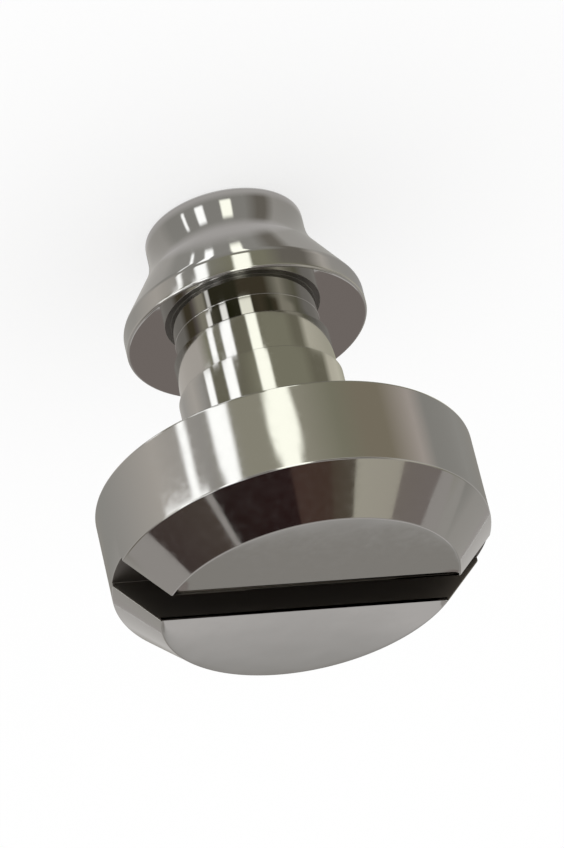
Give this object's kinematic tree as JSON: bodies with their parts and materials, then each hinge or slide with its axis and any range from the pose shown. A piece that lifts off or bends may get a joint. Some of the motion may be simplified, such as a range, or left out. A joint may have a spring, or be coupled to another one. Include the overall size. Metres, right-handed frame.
{
  "type": "watch bezel screw",
  "caption": "Round slotted bezel screw with a bevelled head, a short stepped neck, a tapered snap-in collar and a plain pilot end.",
  "frame": {"origin": "centre of the pilot's flat end, which is the lowest point of the screw as it stands with its head up", "axes": "+Z along the screw's axis from the pilot to the slotted head, X along the driver slot"},
  "size_m": [0.003, 0.003, 0.0034],
  "materials": {
    "polished_steel": "polished stainless steel with faint turning marks"
  },
  "bodies": {
    "root": {"bezel_screw": "polished_steel"}
  },
  "joints": []
}
